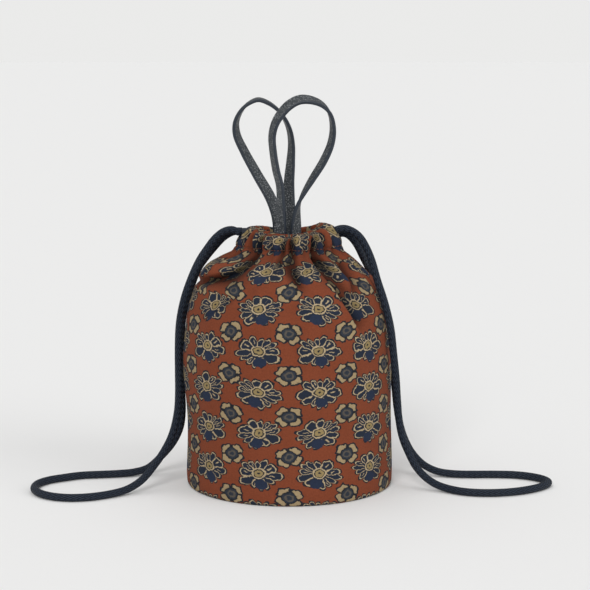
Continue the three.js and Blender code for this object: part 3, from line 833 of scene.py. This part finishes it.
# rows of the section from the base seam up, over the rim and down behind the casing:
# height, half width, half depth, share of the pleats, how much fuller the left side is
def bodyStations(shape):
    shoulderHeight, shoulderRadius = shape["shoulder"]
    rise = shape["seamHeight"] - shoulderHeight
    ridge, deep = shape["ridgeHalfWidth"], shape["ridgeHalfDepth"]
    run = shoulderRadius - ridge
    mouth, mouthDeep = shape["mouthHalfWidth"], shape["mouthHalfDepth"]
    seam, rim, rounding = shape["seamHeight"], shape["rimHeight"], shape["rimRounding"]
    casing = rim - seam
    base, hem, full = shape["baseRadius"], shape["hemRounding"], shape["leftFullness"]
    waistHeight, waist = shape["waist"]
    bellyHeight, belly = shape["belly"]
    inner = shape["innerPleatDepth"] / shape["pleatDepth"]
    # share of the rise and of the run at each row of the shoulder, then pleats and fullness
    shares = [
        (0.22, 0.95, 0.95, 0, 2), (0.41, 0.85, 0.84, 0.03, 2.4), (0.58, 0.75, 0.73, 0.08, 3.2),
        (0.72, 0.6, 0.58, 0.25, 4.6), (0.83, 0.44, 0.42, 0.5, 4.8), (0.92, 0.26, 0.24, 0.85, 3),
        (1, 0.08, 0.06, 1.15, 0.8),
    ]
    rows = [
        (0, base - hem, base - hem, 0, 0),
        (hem * 0.3, base - hem * 0.3, base - hem * 0.3, 0, 0),
        (hem, base, base, 0, 0),
        (waistHeight, waist, waist, 0, 0),
        (bellyHeight, belly, belly, 0, full),
        (shoulderHeight, shoulderRadius, shoulderRadius, 0, full),
    ]
    rows += [(shoulderHeight + up * rise, ridge + wide * run, ridge + thick * run, gathers, fuller)
             for up, wide, thick, gathers, fuller in shares]
    rows += [
        (seam + casing * 0.25, ridge + 1, deep + 1, 1.08, 0),
        (seam + casing * 0.6, ridge, deep, 1, 0),
        (rim - 0.8 * rounding, ridge - 0.6, deep - 0.6, 0.85, 0),
        (rim - 0.2 * rounding, ridge - 0.6 * rounding, deep - 0.6 * rounding, 0.5, 0),
        (rim, ridge - 1.4 * rounding, deep - 1.4 * rounding, 0.3, 0),
        (rim, mouth + 3, mouthDeep + 3, inner, 0),
        (rim - 1.4, mouth + 0.5, mouthDeep + 0.5, inner, 0),
        (seam + casing * 0.5, mouth, mouthDeep, inner, 0),
        (seam, mouth, mouthDeep, inner, 0),
    ]
    return np.array(rows, float)


# sum of bells round the mouth, each leaning a little with height
def pleatShare(angle, height, shape):
    up = (height - shape["seamHeight"]) / (shape["rimHeight"] - shape["seamHeight"])
    up = np.clip(up, -1, 1)
    share = 0
    for middle, depth, half, lean in pleats:
        away = wrapped(angle - np.radians(middle + lean * (up - 0.4))) / math.radians(half)
        share = share + depth * np.exp(-np.abs(away) ** 1.7)
    return np.minimum(share, 1)


# inward depth of folds: a bell with two unlike sides across each fold's own swinging middle line
def foldDepth(angle, height, reach, folds, core, shape):
    rise = shape["seamHeight"] - shape["shoulder"][0]
    drop = np.maximum((shape["seamHeight"] - height) / rise, 0)
    depth = np.zeros(np.broadcast(angle, height).shape)
    for middle, turn, bend, deep, before, after, start, end in folds:
        course = np.radians(middle + turn * drop ** bend)
        swing = np.radians(turn * bend * drop ** (bend - 1)) * reach / rise
        away = wrapped(angle - course) * reach / np.hypot(1, swing)
        side = away / np.where(away < 0, before, after)
        cutIn = eased(start, start + 0.14, drop)
        cutOut = 1 - eased(end - 0.22, end, drop)
        bell = np.exp(-side * side) + core * np.exp(-9 * side * side)
        depth += deep * bell * cutIn * cutOut
    return depth


# both ends of the mouth rise with the square of the cosine, the right one more than the left
def rimLift(angle, shape):
    side = np.cos(angle)
    left, right = shape["leftRimLift"], shape["rightRimLift"]
    return side * side * ((right + left) / 2 + side * (right - left) / 2)


# small slow waves, so that no stretch of cloth is a perfect cylinder, and finer waves and puckers
# where it is gathered; all of them fade out at the hem
def smallWaves(angle, height, shape):
    gathered = eased(shape["shoulder"][0] - 10, shape["seamHeight"], height)
    slow = 0.3 * np.sin(3 * angle + 0.02 * height + 1) + 0.3 * np.sin(7 * angle - 0.05 * height)
    fine = (0.6 * np.sin(17 * angle + 0.09 * height + 2 + 1.2 * np.sin(3 * angle))
            + 0.5 * np.sin(31 * angle - 0.14 * height + 1.5 * np.sin(2 * angle + 1)))
    puckers = 0.45 * np.sin(53 * angle + 2 * np.sin(4 * angle) + 0.2 * height)
    puckers = puckers * eased(shape["seamHeight"] - 16, shape["seamHeight"], height)
    return eased(0, 14, height) * (slow * (1 - gathered) + gathered * (fine + puckers))


# painted shade of hollows: deepest in pleats and folds, with a painted shadow just below the casing
# and a little painted shade over the whole casing
def paintedHollowShade(height, gathers, share, folds, shape):
    sunk = shape["pleatShade"] * share * np.minimum(gathers, 1) + np.maximum(folds, 0)
    deep = np.clip(sunk / shape["fullShade"], 0, 1) ** 1.1
    # painted shadow in a band just below the casing, and painted shade that grows up onto the
    # casing
    under = ((height - shape["stitchHeight"] + 2.5) / 3.5) ** 2
    onCasing = np.clip((height - shape["stitchHeight"] + 2) / 4, 0, 1)
    extra = shape["paintedShadowUnder"] * np.exp(-under) + shape["paintedCasingShade"] * onCasing
    return np.clip(deep + extra, 0, 1)


# one row with its points spread evenly in each quarter turn; the cloth's own width runs faster
# through the pleats, where the gathered cloth is hidden
def spreadRow(points, tucked, paintedShade, shape):
    quarter, columns = shape["samples"] // 4, shape["columns"] // 4
    girth = 2 * np.pi * shape["baseRadius"]
    parts, across, shades = [], [], []
    for k in range(4):
        stretch = slice(k * quarter, (k + 1) * quarter + 1)
        walked = lengthAlong(points[stretch])
        hidden = np.concatenate([[0], np.cumsum(tucked[stretch][:-1])])
        cloth = walked + max(girth / 4 - walked[-1], 0) * hidden / hidden[-1]
        cloth *= girth / 4 / cloth[-1]
        at = np.linspace(0, walked[-1], columns + 1)[:-1]
        parts.append(readAt(at, walked, points[stretch]))
        across.append(np.interp(at, walked, cloth) + (k - 1) * girth / 4)
        # the painted shade read at the same places
        shades.append(np.interp(at, walked, paintedShade[stretch]))
    return np.concatenate(parts), np.concatenate(across + [[3 * girth / 4]]), np.concatenate(shades)


# the cloth on a grid of rows and angles: an oval per row, moved inwards by pleats, folds, waves
# and the stitch line's groove, puffed out between the casing's pleats, and lifted at the rim
def clothGrid(stations, shape):
    angle = np.linspace(-np.pi, np.pi, shape["samples"] + 1)[None, :]
    height, halfWidth, halfDepth, gathers, fuller = (stations[:, k][:, None] for k in range(5))
    seam, rim = shape["seamHeight"], shape["rimHeight"]
    outside = eased(shape["mouthHalfWidth"] + 4, shape["mouthHalfWidth"] + 9, halfWidth)
    share = pleatShare(angle, height, shape)
    folds = foldDepth(angle, height, halfWidth, broadFolds, shape["foldCore"], shape)
    folds += foldDepth(angle, height, halfWidth, creases, 0, shape)
    up = np.clip((height - seam) / (rim - seam), 0, 1)
    puff = (1 - share) * (shape["puff"] * np.sin(np.pi * up) - shape["puffTilt"] * up)
    fromStitch = (height - shape["stitchHeight"]) / shape["grooveWidth"]
    groove = shape["grooveDepth"] * np.exp(-(fromStitch ** 2))
    taper = shape["endTaper"] * eased(0.1, 0.95, up) * np.abs(np.cos(angle)) ** 3
    waves = smallWaves(angle, height, shape)
    inward = (gathers * shape["pleatDepth"] * share + fuller * np.cos(angle)
              + outside * (folds + waves + groove - puff + taper))
    lift = rimLift(angle, shape) * eased(seam, rim - shape["cloth"], height)
    uneven = shape["rimWave"] * np.sin(7 * angle + 1.1) * np.sin(3 * angle)
    dip = (shape["rimDip"] * share + uneven) * eased(rim - 8, rim, height) * outside
    points = np.stack([(halfWidth - inward) * np.cos(angle), (halfDepth - inward) * np.sin(angle),
                       height + lift - dip], axis=-1)
    # painted shade of the hollows, only on the outside of the cloth
    paintedShade = paintedHollowShade(height, gathers, share, folds, shape) * outside
    tucked = share * np.minimum(gathers, 1) + np.maximum(folds, 0) / shape["fullTuck"]
    tucked = np.clip(tucked, 0.02, 1.2) ** 1.5
    rows = [spreadRow(points[row], tucked[row], paintedShade[row], shape) for row in range(len(points))]
    return [np.array(part) for part in zip(*rows)]


# the section is smoothed with its shares of pleats and fullness weighed against the millimetres,
# then read at rows that stand closer together from the shoulder on
def makeBody(shape, material):
    weights = np.array([1, 1, 1, 5, 0.5])
    course = smoothThrough(bodyStations(shape) * weights, np.linspace(0, 1, 3000)) / weights
    travelled = lengthAlong(course[:, :2])
    rising = slice(0, len(course) // 2)
    start = shape["shoulder"][0] - shape["shoulderLead"]
    shoulder = np.interp(start, course[rising, 0], travelled[rising])
    at = np.concatenate([np.linspace(0, shape["hemEnd"], shape["hemRows"])[:-1],
                         np.linspace(shape["hemEnd"], shoulder, shape["sideRows"])[:-1],
                         np.linspace(shoulder, travelled[-1], shape["gatheredRows"])])
    path = readAt(at, travelled, course)
    points, across, paintedShade = clothGrid(path, shape)
    body = gridMesh("cloth_body", points, across, at, material=material, uvScale=metre,
                    paintedShade=paintedShade)
    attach(body, "root")
    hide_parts("body_panel")
    print("cloth body", points.shape, "length", round(at[-1]), "mm")
    return points, path


# shares of a stitch's length with the swell of the thread and its lift off the cloth at each
stitchLook = {
    "pitch": 3.1,
    "length": 2.1,
    "radius": 0.34,
    "sides": 6,
    "shares": (0, 0.04, 0.18, 0.5, 0.82, 0.96, 1.0),
    "swell": (0.02, 0.6, 0.95, 1.0, 0.95, 0.6, 0.02),
    "lift": (-0.25, 0, 0.3, 0.4, 0.3, 0, -0.25),
    "color": (0.13, 0.038, 0.02, 1),
}


# the row of the body's outer side nearest to a height, and its outward directions
def lineAround(points, path, height):
    outerRows = int(np.argmax(path[:, 0]))
    line = points[int(np.argmin(np.abs(path[:outerRows, 0] - height)))]
    ahead = np.roll(line, -1, axis=0) - np.roll(line, 1, axis=0)
    return line, unit(np.cross(ahead, (0.0, 0.0, 1.0)))


# short rounded threads laid end to end along a closed line, a little proud of it
def makeStitches(name, line, outward, look, material):
    closed = np.vstack([line, line[:1]])
    travelled = lengthAlong(closed)
    count = int(travelled[-1] / look["pitch"])
    start = np.arange(count) * travelled[-1] / count
    at = start[:, None] + np.array(look["shares"])[None, :] * look["length"]
    middle = readAt(at, travelled, closed)
    normal = unit(readAt(at, travelled, np.vstack([outward, outward[:1]])))
    along = unit(middle[:, -1:] - middle[:, :1])
    side = unit(np.cross(normal, along))
    turn = np.linspace(0, 2 * np.pi, look["sides"], endpoint=False)[:, None]
    ring = np.cos(turn) * side[:, :, None] + np.sin(turn) * normal[:, :, None]
    lift, swell = np.array(look["lift"]), np.array(look["swell"]) * look["radius"]
    points = (middle + normal * lift[:, None])[:, :, None] + ring * swell[:, None, None]
    rings, sides = len(look["shares"]), look["sides"]
    row, column = np.meshgrid(np.arange(rings - 1), np.arange(sides), indexing="ij")
    after = (column + 1) % sides
    corners = np.stack([row * sides + column, row * sides + after,
                        (row + 1) * sides + after, (row + 1) * sides + column], axis=-1)
    block = np.arange(count)[:, None, None] * rings * sides
    faces = (corners.reshape(1, -1, 4) + block).reshape(-1, 4)
    mesh = bpy.data.meshes.new(name)
    mesh.from_pydata((points.reshape(-1, 3) * metre).tolist(), [], faces.tolist())
    mesh.update()
    mesh.shade_smooth()
    mesh.materials.append(material)
    stitches = bpy.data.objects.new(name, mesh)
    bpy.context.scene.collection.objects.link(stitches)
    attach(stitches, "root")
    print(name, count, "stitches")


# Lining

liningShape = {
    "segments": 240,
    "rows": 130,
    "thickness": 0.8,
    "gathers": 34,
    "gatherDepth": 1.7,
    "color": (0.02, 0.023, 0.028, 1),
}
# height and radius of the hanging lining, from its hem down to the board
liningProfile = [
    (204.7, 32.4), (200, 33.6), (195, 39.2), (190, 46), (185, 53.3), (178, 62.8), (170, 68.4),
    (162, 72.3), (150, 78.4), (143, 82), (125, 85.4), (108, 87), (80, 86.8), (58, 86.6),
    (20, 87), (6.5, 87.1), (4.9, 85.5), (4.6, 78), (4.6, 45), (4.6, 12), (4.6, 0.4),
]


# circles along the profile, waved by small gathers that fade below the shoulder: up the outer
# side from the middle of the bottom to the hem, then down again one thickness further in
def makeLining(shape, material):
    course = smoothThrough(liningProfile, np.linspace(0, 1, 2000))
    travelled = lengthAlong(course)
    at = np.linspace(0, travelled[-1], shape["rows"])
    outer = readAt(at, travelled, course)
    slope = unit(np.gradient(outer, axis=0))
    inner = outer + shape["thickness"] * np.stack([-slope[:, 1], slope[:, 0]], axis=1)
    inner[:, 1] = np.maximum(inner[:, 1], 0.3)
    sides = np.concatenate([outer[::-1], inner])
    height, radius = sides[:, :1], sides[:, 1:]
    turn = np.linspace(-np.pi, np.pi, shape["segments"], endpoint=False)[None, :]
    fade = eased(150, 198, height)
    sway = 1.3 * np.sin(2 * turn) + 0.9 * np.sin(5 * turn + 1) + 0.02 * height
    wave = fade * shape["gatherDepth"] * (0.5 - 0.5 * np.cos(shape["gathers"] * turn + sway))
    sag = 0.5 * np.sin(4 * turn + 0.05 * height) * eased(20, 60, height) * (1 - fade)
    reach = np.maximum(radius - wave - np.abs(sag), 0.2)
    points = np.stack([reach * np.cos(turn), reach * np.sin(turn),
                       np.broadcast_to(height, reach.shape)], axis=-1)
    girth = 2 * np.pi * radius.max()
    lining = gridMesh("lining_cloth", points, np.linspace(0, girth, shape["segments"] + 1),
                      np.concatenate([at[::-1], at]), capped=True, material=material, uvScale=metre)
    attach(lining, "root")
    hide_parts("lining")


# Floor, light and background

studio = {
    "floorColor": (0.864, 0.864, 0.859, 1),
    "floorHalf": 30000,
    "domeStrength": 0.37,
    "backdrop": (0.828, 0.828, 0.82, 1),
}
# name, direction the light comes from, width of the light in degrees, strength
suns = [
    ("key", (-0.22, -0.95, 0.66), 24, 1.32),
    ("side", (0.9, -0.5, 0.42), 40, 0.8),
    ("top", (-0.1, 0.1, 1.0), 80, 0.85),
]


# a flat floor out to the horizon
def makeFloor(look):
    width = np.linspace(-look["floorHalf"], look["floorHalf"], 9)
    x, y = np.meshgrid(width, width)
    share = np.linspace(0, 1, 9)
    material, _, shader = newMaterial("paleFloor")
    setSurface(shader, look["floorColor"], 0.95, 0.0)
    floor = gridMesh("floor", np.stack([x, y, np.zeros_like(x)], axis=-1), share, share,
                     wrap=False, material=material)


# a sun turned so that its light comes from the given direction
def makeSun(name, comesFrom, width, strength):
    data = bpy.data.lights.new(name, "SUN")
    data.angle = math.radians(width)
    data.energy = strength
    lamp = bpy.data.objects.new(name, data)
    x, y, z = comesFrom
    lamp.rotation_euler = (math.atan2(math.hypot(x, y), z), 0, math.atan2(y, x) + math.pi / 2)
    bpy.context.scene.collection.objects.link(lamp)


# the suns, a white dome that only lights, and a backdrop that only the camera sees
def makeLight(look):
    world = bpy.data.worlds.new("studio")
    world.use_nodes = True
    tree = world.node_tree
    dome = tree.nodes["Background"]
    setInput(dome.inputs["Color"], (1, 1, 1, 1))
    setInput(dome.inputs["Strength"], look["domeStrength"])
    seen = tree.nodes.new("ShaderNodeBackground")
    setInput(seen.inputs["Color"], look["backdrop"])
    mix = tree.nodes.new("ShaderNodeMixShader")
    isSeen = tree.nodes.new("ShaderNodeLightPath").outputs["Is Camera Ray"]
    for socket, value in zip(mix.inputs, (isSeen, dome.outputs[0], seen.outputs[0])):
        setInput(socket, value)
    setInput(tree.nodes["World Output"].inputs["Surface"], mix.outputs[0])
    bpy.context.scene.world = world
    for sun in suns:
        makeSun(*sun)
    bpy.context.scene.view_settings.view_transform = "Standard"


# a node of the CAD keeps its shape and takes a material
def dressNode(node, material):
    slots = bpy.data.objects[node].data.materials
    if len(slots):
        slots[0] = material
    else:
        slots.append(material)


makeCamera(cameraView)
braid = makeBraid(cordLook)
makeCord("cord_left", leftCordRoute, "cord_left_free", cordLook, braid)
makeCord("cord_right", rightCordRoute, "cord_right_free", cordLook, braid)

printGroup = makePrintGroup(printLook)
weaveGroup = makeWeaveGroup()
printedCloth = makePrintedCloth("printedCloth", printGroup, weaveGroup, clothLook)
bodyPoints, bodyPath = makeBody(bodyShape, printedCloth)
thread = makePlainCloth("thread", stitchLook["color"], weaveGroup, 0.6)
stitchLine, stitchOut = lineAround(bodyPoints, bodyPath, bodyShape["stitchHeight"])
makeStitches("casing_stitches", stitchLine, stitchOut, stitchLook, thread)

strapFace = makeLeather("strapFace", strapFaceLook)
strapEdge = makeLeather("strapEdge", strapEdgeLook)
makeHandle("strap_front", "handle_front", frontHandle, strapLook, strapFace, strapEdge)
makeHandle("strap_back", "handle_back", backHandle, strapLook, strapFace, strapEdge)

makeLining(liningShape, makePlainCloth("liningCloth", liningShape["color"], weaveGroup, 0.4))
dressNode("base_board", makePlainCloth("boardStuff", (0.15, 0.13, 0.11, 1), weaveGroup, 0.8))
printedBase = makePrintedCloth("printedBase", printGroup, weaveGroup, clothLook, "Object")
dressNode("base_panel", printedBase)
hiddenCord = makePlainCloth("hiddenCord", (0.014, 0.019, 0.03, 1), weaveGroup, 1.5)
dressNode("cord_left_run", hiddenCord)
dressNode("cord_right_run", hiddenCord)

makeFloor(studio)
makeLight(studio)
